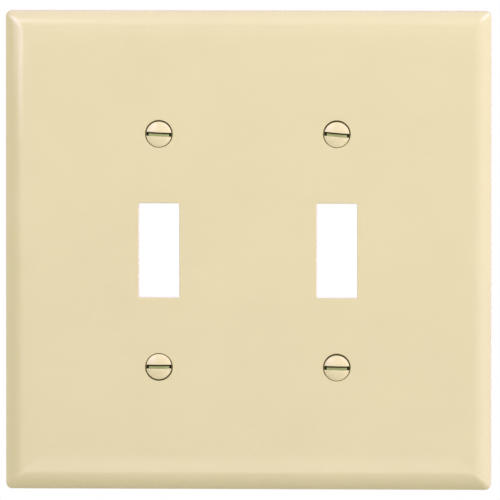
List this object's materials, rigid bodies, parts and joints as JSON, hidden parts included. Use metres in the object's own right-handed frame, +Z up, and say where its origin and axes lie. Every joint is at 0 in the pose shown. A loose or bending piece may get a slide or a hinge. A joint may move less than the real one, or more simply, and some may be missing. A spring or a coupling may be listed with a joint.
{
  "type": "two-gang toggle wall plate",
  "caption": "Wall plate for side-by-side toggle switches: bevelled glossy plastic cover with toggle openings and captive slotted oval-head screws.",
  "frame": {"origin": "centre of the plate's outline, on the wall's surface", "axes": "+X to the right and +Z up as seen from the front, +Y into the wall; the front faces -Y"},
  "size_m": [0.1256, 0.0135, 0.124],
  "materials": {
    "plate_plastic": "smooth gloss, ivory",
    "screw_paint": "ivory paint on the head, bright zinc on the thread",
    "retainer_nylon": "satin, natural nylon"
  },
  "bodies": {
    "wall_plate": {"wall_plate": "plate_plastic"},
    "upper_left_retainer": {"upper_left_retainer": "retainer_nylon"},
    "upper_left_screw": {"upper_left_screw": "screw_paint"},
    "upper_right_retainer": {"upper_right_retainer": "retainer_nylon"},
    "upper_right_screw": {"upper_right_screw": "screw_paint"},
    "lower_left_retainer": {"lower_left_retainer": "retainer_nylon"},
    "lower_left_screw": {"lower_left_screw": "screw_paint"},
    "lower_right_retainer": {"lower_right_retainer": "retainer_nylon"},
    "lower_right_screw": {"lower_right_screw": "screw_paint"}
  },
  "joints": [
    {"name": "upper_left_screw_turn", "type": "hinge", "parent": "wall_plate", "child": "upper_left_retainer", "pos_m": [-0.023, -0.006, 0.03016], "axis": [0, -1, 0], "range_deg": [0, 2880]},
    {"name": "upper_left_screw_travel", "type": "slide", "parent": "upper_left_retainer", "child": "upper_left_screw", "axis": [0, -1, 0], "range_m": [0, 0.00635]},
    {"name": "upper_right_screw_turn", "type": "hinge", "parent": "wall_plate", "child": "upper_right_retainer", "pos_m": [0.023, -0.006, 0.03016], "axis": [0, -1, 0], "range_deg": [0, 2880]},
    {"name": "upper_right_screw_travel", "type": "slide", "parent": "upper_right_retainer", "child": "upper_right_screw", "axis": [0, -1, 0], "range_m": [0, 0.00635]},
    {"name": "lower_left_screw_turn", "type": "hinge", "parent": "wall_plate", "child": "lower_left_retainer", "pos_m": [-0.023, -0.006, -0.03016], "axis": [0, -1, 0], "range_deg": [0, 2880]},
    {"name": "lower_left_screw_travel", "type": "slide", "parent": "lower_left_retainer", "child": "lower_left_screw", "axis": [0, -1, 0], "range_m": [0, 0.00635]},
    {"name": "lower_right_screw_turn", "type": "hinge", "parent": "wall_plate", "child": "lower_right_retainer", "pos_m": [0.023, -0.006, -0.03016], "axis": [0, -1, 0], "range_deg": [0, 2880]},
    {"name": "lower_right_screw_travel", "type": "slide", "parent": "lower_right_retainer", "child": "lower_right_screw", "axis": [0, -1, 0], "range_m": [0, 0.00635]}
  ],
  "couplings": [
    {"joint": "upper_left_screw_turn", "follows": "upper_left_screw_travel", "rad_per_m": 7915.8},
    {"joint": "upper_right_screw_turn", "follows": "upper_right_screw_travel", "rad_per_m": 7915.8},
    {"joint": "lower_left_screw_turn", "follows": "lower_left_screw_travel", "rad_per_m": 7915.8},
    {"joint": "lower_right_screw_turn", "follows": "lower_right_screw_travel", "rad_per_m": 7915.8}
  ]
}
